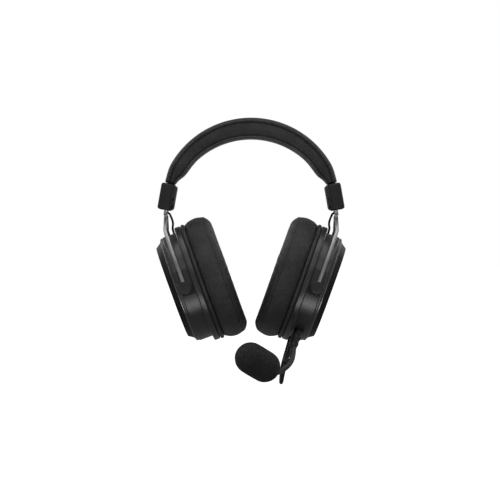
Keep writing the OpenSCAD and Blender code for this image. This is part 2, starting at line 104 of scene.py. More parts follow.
world = bpy.data.worlds.new("studio")
bpy.context.scene.world = world
world.use_nodes = True
background = world.node_tree.nodes["Background"]
background.inputs["Color"].default_value = (1, 1, 1, 1)
rays = world.node_tree.nodes.new("ShaderNodeLightPath")
dimmed = world.node_tree.nodes.new("ShaderNodeMapRange")  # white behind the headset, dimmer in what it lights
dimmed.inputs["To Min"].default_value, dimmed.inputs["To Max"].default_value = 0.28, 1.0
world.node_tree.links.new(rays.outputs["Is Camera Ray"], dimmed.inputs["Value"])
world.node_tree.links.new(dimmed.outputs["Result"], background.inputs["Strength"])
print("camera and lights made")


# Materials

class Value:  # a number socket that takes part in sums
    def __init__(self, finish, socket):
        self.finish, self.socket = finish, socket

    def maths(self, operation, first, second=0.0):
        made = self.finish.node("ShaderNodeMath", {"operation": operation}, {0: first, 1: second})
        return Value(self.finish, made.outputs[0])

    def __add__(self, other): return self.maths("ADD", self, other)
    def __sub__(self, other): return self.maths("SUBTRACT", self, other)
    def __mul__(self, other): return self.maths("MULTIPLY", self, other)
    def __rsub__(self, other): return self.maths("SUBTRACT", other, self)
    def __pow__(self, other): return self.maths("POWER", self, other)
    __radd__, __rmul__ = __add__, __mul__


class Finish:
    def __init__(self, name):
        self.material = bpy.data.materials.new(name)
        self.material.use_nodes = True
        self.tree = self.material.node_tree
        self.shader = self.tree.nodes["Principled BSDF"]
        self.place = self.node("ShaderNodeTexCoord").outputs["Object"]

    def node(self, kind, settings=None, inputs=None):
        made = self.tree.nodes.new(kind)
        for key, value in (settings or {}).items():
            if key == "stops":
                for i, (at, colour) in enumerate(value):
                    stop = made.color_ramp.elements[i] if i < 2 else made.color_ramp.elements.new(at)
                    stop.position, stop.color = at, colour
            else:
                setattr(made, key, value)
        for key, value in (inputs or {}).items():
            self.put(made.inputs[key], value)
        return made

    def put(self, socket, value):
        if isinstance(value, Value):
            value = value.socket
        if isinstance(value, bpy.types.NodeSocket):
            self.tree.links.new(value, socket)
        else:
            socket.default_value = value

    def noise(self, scale, detail=3.0, rough=0.5, place=None):
        made = self.node("ShaderNodeTexNoise", None,
                         {"Vector": place or self.place, "Scale": scale, "Detail": detail, "Roughness": rough})
        return Value(self, made.outputs["Fac"])

    def cells(self, scale, feature="DISTANCE_TO_EDGE", place=None):
        made = self.node("ShaderNodeTexVoronoi", {"feature": feature},
                         {"Vector": place or self.place, "Scale": scale})
        return Value(self, made.outputs["Distance"])

    def span(self, value, low, high, to=(0.0, 1.0)):
        made = self.node("ShaderNodeMapRange", None,
                         {"Value": value, "From Min": low, "From Max": high, "To Min": to[0], "To Max": to[1]})
        return Value(self, made.outputs["Result"])

    def colour(self, amount, low, high):
        made = self.node("ShaderNodeMix", {"data_type": "RGBA"}, {0: amount, 6: (*low, 1), 7: (*high, 1)})
        self.put(self.shader.inputs["Base Color"], made.outputs[2])

    def bump(self, height, depth, strength=1.0):
        made = self.node("ShaderNodeBump", None, {"Height": height, "Distance": depth, "Strength": strength})
        self.put(self.shader.inputs["Normal"], made.outputs["Normal"])

    def set(self, **values):
        for name, value in values.items():
            self.put(self.shader.inputs[name.replace("_", " ")], value)


def leather(name, dark, light, rough=0.5, grain=950):
    f = Finish(name)
    edges = f.span(f.cells(grain), 0.0, 0.22)
    patches = f.noise(60, 4.0)
    pores = f.noise(grain * 2.6, 2.0)
    creases = f.span(f.noise(210, 5.0, 0.62), 0.42, 0.56)
    f.colour(f.span(patches, 0.35, 0.7) * (edges * 0.6 + 0.4), dark, light)
    f.set(Roughness=f.span(patches * 0.5 + edges * 0.5, 0.25, 0.85, (rough + 0.08, rough - 0.06)))
    f.bump(edges * 0.7 + pores * 0.4 + creases * 0.5, 0.0003, 0.85)
    f.set(**{"Specular_IOR_Level": 0.42})
    return f.material


def plastic(name, dark, light, rough, grain=2600, depth=0.00006, coat=0.0, sheen=0.5):
    f = Finish(name)
    fine = f.noise(grain, 2.0)
    broad = f.noise(45, 3.0)
    f.colour(f.span(broad, 0.3, 0.7), dark, light)
    f.set(Roughness=f.span(broad * 0.6 + fine * 0.4, 0.3, 0.7, (rough - 0.04, rough + 0.05)))
    f.set(Coat_Weight=coat, Coat_Roughness=0.3, **{"Specular_IOR_Level": sheen})
    f.bump(fine, depth, 0.35)
    return f.material


def metal(name, dark, light, rough, metallic=1.0, brushed=(1, 1, 1)):
    f = Finish(name)
    turned = f.node("ShaderNodeMapping", None, {"Vector": f.place, "Scale": brushed}).outputs["Vector"]
    streak = f.noise(900, 3.0, 0.6, turned)
    worn = f.span(f.noise(140, 5.0, 0.65), 0.52, 0.72)
    f.colour(streak * 0.7 + worn * 0.3, dark, light)
    f.set(Metallic=metallic, Roughness=f.span(streak, 0.3, 0.7, (rough - 0.05, rough + 0.07)))
    f.bump(streak, 0.00003, 0.3)
    return f.material


def foam(name):
    f = Finish(name)
    pits = f.span(f.cells(1150, "F1"), 0.12, 0.55)
    holes = f.span(f.noise(2100, 4.0, 0.7), 0.38, 0.62)
    openness = pits * holes
    f.colour(openness, (0.008, 0.008, 0.008), (0.070, 0.068, 0.069))
    f.set(Roughness=0.95, **{"Specular_IOR_Level": 0.2})
    f.bump(openness, 0.0006, 0.9)
    return f.material


def rubber(name, dark, light, rough=0.55, grain=1500, sheen=0.5):
    f = Finish(name)
    dust = f.span(f.noise(120, 5.0, 0.6), 0.45, 0.75)
    f.colour(dust, dark, light)
    f.set(Roughness=f.span(f.noise(300, 3.0), 0.3, 0.7, (rough - 0.06, rough + 0.08)))
    f.bump(f.noise(grain, 2.0), 0.00005, 0.3)
    f.set(**{"Specular_IOR_Level": sheen})
    return f.material


def weave(name, dark, light, scale=1500, hooks=False):
    f = Finish(name)
    waveX = f.node("ShaderNodeTexWave", {"bands_direction": "X"}, {"Vector": f.place, "Scale": scale / 6.3})
    waveZ = f.node("ShaderNodeTexWave", {"bands_direction": "Z"}, {"Vector": f.place, "Scale": scale / 6.3})
    threads = Value(f, waveX.outputs["Fac"]) * Value(f, waveZ.outputs["Fac"])
    fuzz = f.noise(2600 if hooks else 900, 4.0, 0.7)
    f.colour(threads * 0.6 + fuzz * 0.4, dark, light)
    f.set(Roughness=0.9)
    f.bump(threads + fuzz * (1.2 if hooks else 0.4), 0.0003, 0.7)
    return f.material


def plain(name, dark, light, rough, metallic=0.0):
    f = Finish(name)
    f.colour(f.noise(160, 4.0), dark, light)
    f.set(Roughness=f.span(f.noise(90), 0.3, 0.7, (rough - 0.05, rough + 0.05)), Metallic=metallic)
    return f.material


finishes = {
    "headband_leather": leather("bandLeather", (0.018, 0.0168, 0.0174), (0.037, 0.035, 0.036), 0.50),
    # pad leather: painted about three times lighter than the band leather, as painted light from below on the underside
    # roll in place of light off the floor
    "pad_leather": leather("padLeatherPaintedUnderLight", (0.052, 0.050, 0.051), (0.104, 0.101, 0.102), 0.44, 1050),
    "cushion_leather": leather("cushionLeather", (0.018, 0.0165, 0.017), (0.040, 0.037, 0.038), 0.48, 900),
    "housing_plastic": plastic("housingPlastic", (0.008, 0.008, 0.008), (0.014, 0.014, 0.014), 0.5, sheen=0.36),
    "barrel_plastic": plastic("barrelPlastic", (0.014, 0.014, 0.0145), (0.021, 0.021, 0.0215), 0.36,
                              3000, 0.00004, 0.12),
    "cap_plastic": plastic("capPlastic", (0.004, 0.004, 0.004), (0.007, 0.007, 0.007), 0.5, sheen=0.22),
    "inner_plastic": plastic("innerPlastic", (0.010, 0.010, 0.010), (0.020, 0.020, 0.020), 0.55),
    "yoke_metal": metal("yokeMetal", (0.24, 0.24, 0.245), (0.37, 0.37, 0.38), 0.36, 0.85, (1, 1, 0.08)),
    "disc_metal": metal("discMetal", (0.018, 0.018, 0.019), (0.034, 0.034, 0.036), 0.42, 0.5),
    "trim_metal": metal("trimMetal", (0.10, 0.10, 0.105), (0.2, 0.2, 0.205), 0.3, 0.9),
    "steel": metal("bandSteel", (0.42, 0.42, 0.43), (0.66, 0.66, 0.67), 0.3, 1.0, (0.1, 1, 1)),
    "magnet_steel": metal("magnetSteel", (0.38, 0.38, 0.39), (0.55, 0.55, 0.56), 0.25),
    "screw_black": metal("screwBlack", (0.010, 0.010, 0.010), (0.025, 0.025, 0.026), 0.38, 0.7),
    "brass": metal("bushBrass", (0.52, 0.38, 0.16), (0.72, 0.56, 0.28), 0.28),
    "plug_gold": metal("plugGold", (0.66, 0.48, 0.18), (0.86, 0.68, 0.34), 0.18, 1.0, (1, 1, 0.1)),
    "wire_black": rubber("wireBlack", (0.002, 0.002, 0.002), (0.005, 0.005, 0.005), 0.62, sheen=0.15),
    "cord_rubber": rubber("cordRubber", (0.0030, 0.0030, 0.0031), (0.007, 0.007, 0.0072), 0.5, sheen=0.25),
    "boot_rubber": rubber("bootRubber", (0.004, 0.004, 0.004), (0.009, 0.009, 0.009), 0.5, sheen=0.4),
    "gooseneck_black": rubber("gooseneckBlack", (0.009, 0.009, 0.0092), (0.018, 0.018, 0.0185), 0.42, 2200),
    "foam_black": foam("foamBlack"),
    "cloth_black": weave("speakerCloth", (0.004, 0.004, 0.004), (0.020, 0.020, 0.020), 1900),
    "tie_fabric": weave("tieFabric", (0.008, 0.008, 0.009), (0.030, 0.030, 0.032), 1500, hooks=True),
    "diaphragm_film": plain("diaphragmFilm", (0.50, 0.42, 0.25), (0.68, 0.60, 0.40), 0.25),
    "board_green": plain("boardGreen", (0.015, 0.10, 0.04), (0.03, 0.17, 0.07), 0.3),
}
stitchThread = weave("stitchThread", (0.035, 0.035, 0.035), (0.085, 0.083, 0.083), 2600)
stitchThread.name = "stitchThread"
seamDark = plain("seamDark", (0.003, 0.003, 0.003), (0.008, 0.008, 0.008), 0.75)
slotOf = {row["node"]: row["material_slot"] for row in frame["record"]["subparts"]}
for name, cadNode in nodes.items():
    cadNode.data.materials.clear()
    cadNode.data.materials.append(finishes[slotOf[name]])
print("materials made")


# Helpers

def makeMesh(name, points, faces, finish, smooth=True):
    mesh = bpy.data.meshes.new(name)
    mesh.from_pydata([tuple(p) for p in points], [], faces)
    mesh.validate()
    piece = bpy.data.objects.new(name, mesh)
    bpy.context.scene.collection.objects.link(piece)
    tidyNormals(mesh)
    for face in mesh.polygons:
        face.use_smooth = smooth
    mesh.materials.append(finishes[finish] if isinstance(finish, str) else finish)
    return piece


def tidyNormals(mesh):
    work = bmesh.new()
    work.from_mesh(mesh)
    bmesh.ops.remove_doubles(work, verts=work.verts, dist=1e-6)
    bmesh.ops.recalc_face_normals(work, faces=work.faces)
    work.to_mesh(mesh)
    work.free()


def loft(name, rings, finish, closed=False, caps=True):
    size = len(rings[0])
    points = [p for ring in rings for p in ring]
    faces = []
    last = len(rings) if closed else len(rings) - 1
    for i in range(last):
        k = (i + 1) % len(rings)
        for j in range(size):
            n = (j + 1) % size
            faces.append((i * size + j, k * size + j, k * size + n, i * size + n))
    if caps and not closed:
        faces.append(tuple(range(size)))
        faces.append(tuple((len(rings) - 1) * size + j for j in range(size)))
    return makeMesh(name, points, faces, finish)


def spline(points, spacing):
    points = [Vector(p) for p in points]
    ends = [points[0] * 2 - points[1]] + points + [points[-1] * 2 - points[-2]]
    path = []
    for i in range(1, len(ends) - 2):
        a, b, c, d = ends[i - 1:i + 3]
        steps = max(2, round((c - b).length / spacing))
        for s in range(steps):
            t = s / steps
            path.append(0.5 * ((2 * b) + (c - a) * t + (2 * a - 5 * b + 4 * c - d) * t * t
                               + (3 * b - a - 3 * c + d) * t ** 3))
    path.append(points[-1])
    return path


def pathLength(path):
    return sum((b - a).length for a, b in zip(path, path[1:]))


def carry(path, start):
    sideways, frames = Vector(start), []
    for i, p in enumerate(path):
        along = (path[min(i + 1, len(path) - 1)] - path[max(i - 1, 0)]).normalized()
        sideways = (sideways - along * sideways.dot(along)).normalized()
        frames.append((p, sideways.copy(), along.cross(sideways)))
    return frames


def tube(name, path, radius, finish, sides=16, start=(1, 0, 0)):
    size = radius if callable(radius) else (lambda share: radius)
    rings = []
    for i, (p, u, w) in enumerate(carry(path, start)):
        r = size(i / (len(path) - 1))
        rings.append([p + (u * math.cos(t) + w * math.sin(t)) * r
                      for t in (2 * math.pi * j / sides for j in range(sides))])
    return loft(name, rings, finish)


def lathe(name, outline, at, aim, finish, sides=48):
    turn = Vector(aim).normalized().to_track_quat("Z", "Y")
    rings = [[Vector(at) + turn @ Vector((max(r, 1e-5) * math.cos(t), max(r, 1e-5) * math.sin(t), h))
              for t in (2 * math.pi * j / sides for j in range(sides))] for r, h in outline]
    return loft(name, rings, finish)


def join(name, pieces):
    work = bmesh.new()
    materials = []
    for piece in pieces:
        before = len(work.faces)
        work.from_mesh(piece.data)
        work.faces.ensure_lookup_table()
        shift = []
        for m in piece.data.materials:
            if m not in materials:
                materials.append(m)
            shift.append(materials.index(m))
        for face in work.faces[before:]:
            face.material_index = shift[face.material_index] if shift else 0
    mesh = bpy.data.meshes.new(name)
    work.to_mesh(mesh)
    work.free()
    for m in materials:
        mesh.materials.append(m)
    whole = bpy.data.objects.new(name, mesh)
    bpy.context.scene.collection.objects.link(whole)
    for piece in pieces:
        bpy.data.objects.remove(piece)
    return whole


def mirrored(piece, name):
    twin = bpy.data.objects.new(name, piece.data.copy())
    bpy.context.scene.collection.objects.link(twin)
    twin.data.transform(Matrix.Scale(-1, 4, (1, 0, 0)))
    twin.data.flip_normals()
    return twin


def applied(piece):
    graph = bpy.context.evaluated_depsgraph_get()
    mesh = bpy.data.meshes.new_from_object(piece.evaluated_get(graph))
    piece.modifiers.clear()
    piece.data = mesh
    return piece


def smoothed(piece, levels=1):
    change = piece.modifiers.new("smooth", "SUBSURF")
    change.levels = change.render_levels = levels
    return applied(piece)


def bevelled(piece, width, segments=3, angle=35):
    change = piece.modifiers.new("bevel", "BEVEL")
    change.width, change.segments, change.limit_method = width, segments, "ANGLE"
    change.angle_limit = math.radians(angle)
    change.harden_normals = False
    return applied(piece)


def cut(piece, cutters):
    for cutter in cutters:
        change = piece.modifiers.new("cut", "BOOLEAN")
        change.operation, change.solver, change.object = "DIFFERENCE", "EXACT", cutter
        applied(piece)
        bpy.data.objects.remove(cutter)
    return piece


def sharpen(piece, angle=38):
    piece.data.set_sharp_from_angle(angle=math.radians(angle))
    return piece


def settle(piece, body, slot, *cadNodes):
    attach(piece, body)
    if cadNodes:
        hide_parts(*cadNodes)
    return piece


def bothSides(piece, base, bodyEnd, slot, *cadEnds):
    # the left piece, and its mirrored twin on the right
    twin = mirrored(piece, "right" + base[0].upper() + base[1:])
    piece.name = "left" + base[0].upper() + base[1:]
    for side, made in (("left", piece), ("right", twin)):
        body = bodyEnd if bodyEnd == "headband" else f"{side}_{bodyEnd}"
        settle(made, body, slot, *[f"{side}_{end}" for end in cadEnds])
    return piece, twin


# Cord

cordSizes = {
    "diameter": 3.5, "coilAt": (47.5, 59, -112), "rings": (16.5, 20, 23.5), "layers": (53.75, 57.25, 60.75, 64.25),
    "turnStep": 9,
}
# where the cord lies, a few millimetres apart: the relief, the hanging loop behind it and the rise to the coil
cordRoute = [
    (30, 8, -194.7), (29.1, 8.2, -199.4), (27.6, 9.6, -206), (26.8, 13, -210.8), (26.4, 17.5, -212.6),
    (26.4, 22.2, -210.8), (26.8, 25.6, -206), (27.6, 27.6, -199.5), (29.6, 29.8, -191.5), (32, 32.2, -183.5),
    (34.2, 34.8, -175.5), (35.6, 37.6, -167.5), (35.4, 40.6, -159.5), (33.9, 44, -151.5), (31.6, 47.3, -143.8),
    (29.2, 49.9, -136.8), (28, 51.1, -132.2), (27.5, 52.6, -124.5), (27.4, 53.6, -118), (27.5, 53.75, -112)]
tailRoute = [(53.5, 64.3, -89.3), (57.4, 66, -91.4), (60.3, 68.6, -95.6), (61.6, 70.6, -101), (61.7, 71.1, -107)]


def coilTurns():
    # ring and layer of each turn, from where the cord comes in to where its tail leaves
    order = [(1, 0), (0, 0), (0, 1), (1, 1), (2, 1), (2, 2), (1, 2), (0, 2), (0, 3), (1, 3), (2, 3)]
    lastArc = 104.8
    angles = []
    total = 360 * (len(order) - 1) + lastArc
    count = round(total / cordSizes["turnStep"])
    for i in range(1, count):
        swept = total * i / count
        turn = min(int(swept // 360), len(order) - 1)
        share = (swept - 360 * turn) / 360
        here = order[turn]
        there = order[min(turn + 1, len(order) - 1)]
        ease = max(0.0, (share - 0.8) / 0.2)
        ease = ease * ease * (3 - 2 * ease)
        radius = cordSizes["rings"][here[0]] * (1 - ease) + cordSizes["rings"][there[0]] * ease
        depth = cordSizes["layers"][here[1]] * (1 - ease) + cordSizes["layers"][there[1]] * ease
        angle = math.radians(180 - swept)
        angles.append(Vector((cordSizes["coilAt"][0] + radius * math.cos(angle), depth,
                              cordSizes["coilAt"][2] + radius * math.sin(angle))))
    return angles


cordPath = spline([Vector(p) * mm for p in cordRoute], 0.0025)
cordPath += [p * mm for p in coilTurns()]
cordPath += spline([Vector(p) * mm for p in tailRoute], 0.0025)
cord = tube("cord", cordPath, cordSizes["diameter"] / 2 * mm, "cord_rubber", 14)
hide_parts("cord_run", "cord_coil", "cord_tail")
cordLength = pathLength(cordPath)
print("cord made, length", round(cordLength, 3))

# Headband

band = {
    "outerR": 80.2, "outerZ": -62, "innerR": 69.3, "innerZ": -69.3, "outerEnd": 72.4, "innerEnd": 65.2,
    "halfDepth": 17.9, "endDepth": 15.2, "roll": 2.7,
    "topStrip": 4.1, "stitchDrop": 2.9, "stitchPitch": 3.55, "steps": 96,
    "pinch": 3.0, "tuck": 1.5,  # how far the pad narrows into the housings, inside and outside
}


def innerAt(angle):
    # the band's thickness taken from its top arc, at an angle from straight up
    share = angle / math.radians(band["outerEnd"])
    inner = share * math.radians(band["innerEnd"])
    low = Vector((band["innerR"] * math.sin(inner), band["innerZ"] + band["innerR"] * math.cos(inner)))
    high = Vector((band["outerR"] * math.sin(angle), band["outerZ"] + band["outerR"] * math.cos(angle)))
    return band["outerR"] - (high - low).length


def bandPoint(angle, radius, y):
    # radius counts from the pad's underside, 0, to the band's top, 1; both ends lie on the housings' tops
    share = angle / math.radians(band["outerEnd"])
    inner = share * math.radians(band["innerEnd"])
    outer = share * math.radians(band["outerEnd"])
    low = Vector((band["innerR"] * math.sin(inner), 0, band["innerZ"] + band["innerR"] * math.cos(inner)))
    high = Vector((band["outerR"] * math.sin(outer), 0, band["outerZ"] + band["outerR"] * math.cos(outer)))
    place = low + (high - low) * ((radius - innerAt(angle)) / (band["outerR"] - innerAt(angle)))
    place.y = y
    return place * mm


def eased(x):
    x = max(0.0, min(1.0, x))
    return x * x * (3 - 2 * x)


def underside(angle):
    # swells a little, then narrows into the housing
    turned = abs(math.degrees(angle))
    return (innerAt(angle) + band["pinch"] * eased((turned - 62.5) / 9.9)
            - 0.7 * eased((turned - 46) / 14) * (1 - eased((turned - 61) / 8)))


def topAt(angle):
    return band["outerR"] - band["tuck"] * eased((abs(math.degrees(angle)) - 60) / 12.4)


def rollAt(angle):
    return band["roll"] * (1 - 0.55 * eased((abs(math.degrees(angle)) - 64) / 8))


def bandAngles(steps=None, end=None):
    steps = steps or band["steps"]
    end = math.radians(end or band["outerEnd"])
    return [-end + 2 * end * i / steps for i in range(steps + 1)]


def depthAt(angle):
    ease = eased((abs(math.degrees(angle)) - 56) / 16)
    return band["halfDepth"] * (1 - ease) + band["endDepth"] * ease


def halfOutline(shape):
    # the front half of a section, mirrored front to back
    return shape + [(r, -y) for r, y in reversed(shape)]


def coverSection(angle):
    top, low, half = topAt(angle) - 0.35, underside(angle) + rollAt(angle), depthAt(angle)
    strip = top - band["topStrip"]
    bulge = 0.5 + 0.25 * math.sin(9 * angle)
    front = [(low + 0.2, -half + 2.2), (low, -half + 0.9), (low + 0.5, -half + 0.35)]
    for i in range(1, 8):
        t = i / 8
        r = low + 0.5 + (strip - low - 0.9) * t
        front.append((r, -half + 0.35 - bulge * math.sin(math.pi * t)))
    front += [(strip - 0.35, -half + 0.35), (strip, -half + 0.75), (strip + 0.35, -half + 0.25),
              (strip + 0.9, -half), (strip + 1.7, -half + 0.1), (strip + 2.5, -half + 0.55),
              (strip + 3.1, -half + 1.3), (top, -half + 2.6), (top + 0.15, -half + 5), (top + 0.25, -half + 10),
              (top + 0.3, -3)]
    return [bandPoint(angle, r, y) for r, y in halfOutline(front)]


def rollSection(angle):
    low, half, thick = underside(angle), depthAt(angle), rollAt(angle)
    edge = low + thick - 0.15
    front = [(edge + 0.2, -half + 6), (edge + 0.1, -half + 2.2), (edge - 0.15, -half + 0.9),
             (edge - 0.22 * thick, -half + 0.35), (low + 0.44 * thick, -half + 0.15), (low + 0.22 * thick, -half + 0.7),
             (low + 0.2, -half + 1.9), (low, -half + 4), (low - 0.1, -half + 9), (low - 0.1, -3)]
    return [bandPoint(angle, r, y) for r, y in halfOutline(front)]


bandCover = smoothed(loft("headbandCover", [coverSection(a) for a in bandAngles()], "headband_leather"))
bandRoll = smoothed(loft("headbandPad", [rollSection(a) for a in bandAngles()], "pad_leather"))


def seamLine(name, lift, inset, radius, frontBack=(-1, 1)):
    lines = []
    for side in frontBack:
        path = [bandPoint(a, lift(a), side * (depthAt(a) - inset)) for a in bandAngles(120)]
        lines.append(tube(f"{name}{side}", path, radius * mm, seamDark, 6, (0, 1, 0)))
    return lines


def stitchRow(name, lift, inset, pitch, size, end, finish):
    # a line of points that Geometry Nodes lays stitches along
    rows = []
    for side in (-1, 1):
        path = [bandPoint(a, lift(a), side * (depthAt(a) - inset)) for a in bandAngles(160, end)]
        mesh = bpy.data.meshes.new(name)
        mesh.from_pydata([tuple(p) for p in path], [(i, i + 1) for i in range(len(path) - 1)], [])
        line = bpy.data.objects.new(f"{name}{side}", mesh)
        bpy.context.scene.collection.objects.link(line)
        rows.append(stitched(line, pitch, size, finish))
    return rows


def stitchTree(thread):
    tree = bpy.data.node_groups.new("stitchesAlong", "GeometryNodeTree")
    face = tree.interface
    face.new_socket("Geometry", in_out="INPUT", socket_type="NodeSocketGeometry")
    for label in ("Pitch", "Length", "Thickness"):
        face.new_socket(label, in_out="INPUT", socket_type="NodeSocketFloat")
    face.new_socket("Geometry", in_out="OUTPUT", socket_type="NodeSocketGeometry")
    add, link = tree.nodes.new, tree.links.new
    entry, outlet = add("NodeGroupInput"), add("NodeGroupOutput")
    curve, evenly = add("GeometryNodeMeshToCurve"), add("GeometryNodeResampleCurve")
    evenly.mode = "LENGTH"
    link(entry.outputs["Geometry"], curve.inputs["Mesh"])
    link(curve.outputs["Curve"], evenly.inputs["Curve"])
    link(entry.outputs["Pitch"], evenly.inputs["Length"])
    grain = add("GeometryNodeMeshUVSphere")
    grain.inputs["Segments"].default_value, grain.inputs["Rings"].default_value = 8, 6
    grain.inputs["Radius"].default_value = 0.5
    size = add("ShaderNodeCombineXYZ")
    link(entry.outputs["Thickness"], size.inputs["X"])
    link(entry.outputs["Thickness"], size.inputs["Y"])
    link(entry.outputs["Length"], size.inputs["Z"])
    along, turn = add("GeometryNodeInputTangent"), add("FunctionNodeAlignRotationToVector")
    turn.axis = "Z"
    link(along.outputs["Tangent"], turn.inputs["Vector"])
    place = add("GeometryNodeInstanceOnPoints")
    link(evenly.outputs["Curve"], place.inputs["Points"])
    link(grain.outputs["Mesh"], place.inputs["Instance"])
    link(turn.outputs["Rotation"], place.inputs["Rotation"])
    link(size.outputs["Vector"], place.inputs["Scale"])
    real, dress = add("GeometryNodeRealizeInstances"), add("GeometryNodeSetMaterial")
    dress.inputs["Material"].default_value = thread
    shade = add("GeometryNodeSetShadeSmooth")
    link(place.outputs["Instances"], real.inputs["Geometry"])
    link(real.outputs["Geometry"], shade.inputs["Geometry"])
    link(shade.outputs["Geometry"], dress.inputs["Geometry"])
    link(dress.outputs["Geometry"], outlet.inputs["Geometry"])
    return tree


def stitched(line, pitch, size, finish):
    change = line.modifiers.new("stitches", "NODES")
    change.node_group = stitchTree(finish)
    values = {"Pitch": pitch * mm, "Length": size[0] * mm, "Thickness": size[1] * mm}
    for item in change.node_group.interface.items_tree:
        if item.in_out == "INPUT" and item.name in values:
            change[item.identifier] = values[item.name]
    applied(line)
    if not line.data.materials:
        line.data.materials.append(finish)
    return line


topSeam = seamLine("topSeam", lambda a: topAt(a) - 0.35 - band["topStrip"], 0.38, 0.36)
rollSeam = seamLine("rollSeam", lambda a: underside(a) + rollAt(a) - 0.05, 0.62, 0.42)
seams = join("headbandSeams", topSeam + rollSeam)
stitches = join("headbandStitches", stitchRow(
    "stitchRow", lambda a: topAt(a) - band["stitchDrop"], 0.12, band["stitchPitch"], (2.6, 1.2), 70,
    stitchThread))
settle(bandCover, "headband", "headband_leather", "headband_cover")
settle(bandRoll, "headband", "pad_leather", "headband_cushion")
settle(seams, "headband", "headband_leather")
settle(stitches, "headband", "headband_leather")
print("headband made")


# Slider housings

housing = {"at": (72.4, 0, -50.4), "lean": 10, "width": 14, "depth": 30, "length": 23.2}


def housingPlace(u, y, h):
    lean = math.radians(housing["lean"])
    x, z = housing["at"][0], housing["at"][2]
    return Vector((x + u * math.cos(lean) - h * math.sin(lean), y,
                   z + u * math.sin(lean) + h * math.cos(lean))) * mm


def slab(name, low, high, finish, place=lambda *p: Vector(p) * mm, bevel=0.0, segments=4):
    corners = [(x, y, z) for x in (low[0], high[0]) for y in (low[1], high[1]) for z in (low[2], high[2])]
    faces = [(0, 1, 3, 2), (4, 6, 7, 5), (0, 4, 5, 1), (2, 3, 7, 6), (0, 2, 6, 4), (1, 5, 7, 3)]
    piece = makeMesh(name, [place(*c) for c in corners], faces, finish)
    return bevelled(piece, bevel * mm, segments) if bevel else piece


half = (housing["width"] / 2, housing["depth"] / 2, housing["length"] / 2)


def blockSection(u, deep, tall, corner):
    ring = []
    for cy, ch, start in ((deep - corner, tall - corner, 0), (-deep + corner, tall - corner, 90),
                          (-deep + corner, -tall + corner, 180), (deep - corner, -tall + corner, 270)):
        ring += [housingPlace(u, cy + corner * math.cos(math.radians(start + s)),
                              ch + corner * math.sin(math.radians(start + s))) for s in range(0, 91, 15)]
    return ring


def blockLoft(name, sections, finish):
    return loft(name, [blockSection(*section) for section in sections], finish)


outer = half[0]
body = blockLoft("housing", [
    (-3.5, half[1] - 0.35, half[2] - 0.35, 1.6), (-3.3, half[1], half[2], 1.6), (outer - 2.4, half[1], half[2], 1.8),
    (outer - 1.3, half[1] - 0.25, half[2] - 0.2, 1.8), (outer - 0.5, half[1] - 0.9, half[2] - 0.7, 1.8),
    (outer - 0.1, half[1] - 1.9, half[2] - 1.5, 1.6), (outer, half[1] - 3, half[2] - 2.4, 1.2)], "housing_plastic")
mouth = slab("mouth", (-2.4, -7.4, -half[2] - 1), (1.2, 7.4, -half[2] + 5), "housing_plastic", housingPlace)
wireMouth = slab("wireMouth", (-2.9, 10.1, -half[2] - 1), (-0.1, 12.9, -half[2] + 5), "housing_plastic", housingPlace)
body = cut(body, [mouth, wireMouth])
sharpen(body, 28)
bothSides(body, "sliderHousing", "headband", "housing_plastic", "slider_housing")
lid = blockLoft("lid", [
    (-3.6, half[1] - 0.4, half[2] - 0.4, 1.6), (-3.75, half[1] - 0.05, half[2] - 0.05, 1.6),
    (-4.3, half[1] - 0.15, half[2] - 0.2, 1.7), (-6.3, half[1] - 2.5, half[2] - 1.5, 1.7),
    (-6.85, half[1] - 3.3, half[2] - 2.0, 1.7), (-outer, half[1] - 4.2, half[2] - 2.8, 1.4)], "inner_plastic")
sharpen(lid, 24)
bothSides(lid, "sliderLid", "headband", "inner_plastic", "slider_lid")


def screwHead(name, at, aim, radius, finish="screw_black"):
    outline = [(0, -0.6), (radius, -0.6), (radius, 0.12), (radius - 0.15, 0.3), (radius * 0.5, 0.34),
               (radius * 0.42, -0.15), (0, -0.15)]
    outline = [(r * mm, h * mm) for r, h in outline]
    return sharpen(lathe(name, outline, at, aim, finish, 24), 30)


heads = []
for u, y, h, aimU, aimY in ((-5.5, -13.4, -1, -0.78, -0.62), (-5.5, -13.4, -7.5, -0.78, -0.62),
                            (-5.5, 13.4, 2.5, -0.78, 0.62), (-outer, 0, -6.5, -1, 0)):
    aim = housingPlace(aimU, aimY, 0) - housingPlace(0, 0, 0)
    heads.append(screwHead(f"head{y}{h}", housingPlace(u, y, h), aim, 1.45))
bothSides(join("lidScrews", heads), "lidScrews", "headband", "screw_black", "lid_screws")
print("slider housings made")


# Ear cups

pivot = Vector(joints["left_tilt"]["pos_m"])
cup = {"tilt": 20, "straight": 13, "steps": 40}
tilt = math.radians(cup["tilt"])
downCup = Vector((-math.sin(tilt), 0, -math.cos(tilt)))
toEar = Vector((-math.cos(tilt), 0, math.sin(tilt)))


def cupPlace(v, f, a):
    return pivot + (downCup * v + Vector((0, -1, 0)) * f + toEar * a) * mm


def oblong(radius, a, wobble=None):
    ring, steps = [], cup["steps"]
    for end in (1, -1):
        for i in range(steps + 1):
            t = math.pi * (i / steps - 0.5) + (0 if end == 1 else math.pi)
            ring.append((end * cup["straight"] / 2 + radius * math.cos(t), radius * math.sin(t), t))
        for i in range(1, 4):
            v = end * cup["straight"] / 2 * (1 - i / 2)
            ring.append((v, end * radius, math.pi / 2 if end == 1 else 3 * math.pi / 2))
    points = []
    for v, f, t in ring:
        dv, df, da = wobble(v, f, a, t) if wobble else (0, 0, 0)
        points.append(cupPlace(v + dv, f + df, a + da))
    return points


def cupLoft(name, outline, finish, closed=True, wobble=None):
    return loft(name, [oblong(r, a, wobble) for r, a in outline], finish, closed)


def arc(cx, cy, r, start, end, steps):
    return [(cx + r * math.cos(math.radians(start + (end - start) * i / steps)),
             cy + r * math.sin(math.radians(start + (end - start) * i / steps))) for i in range(steps + 1)]


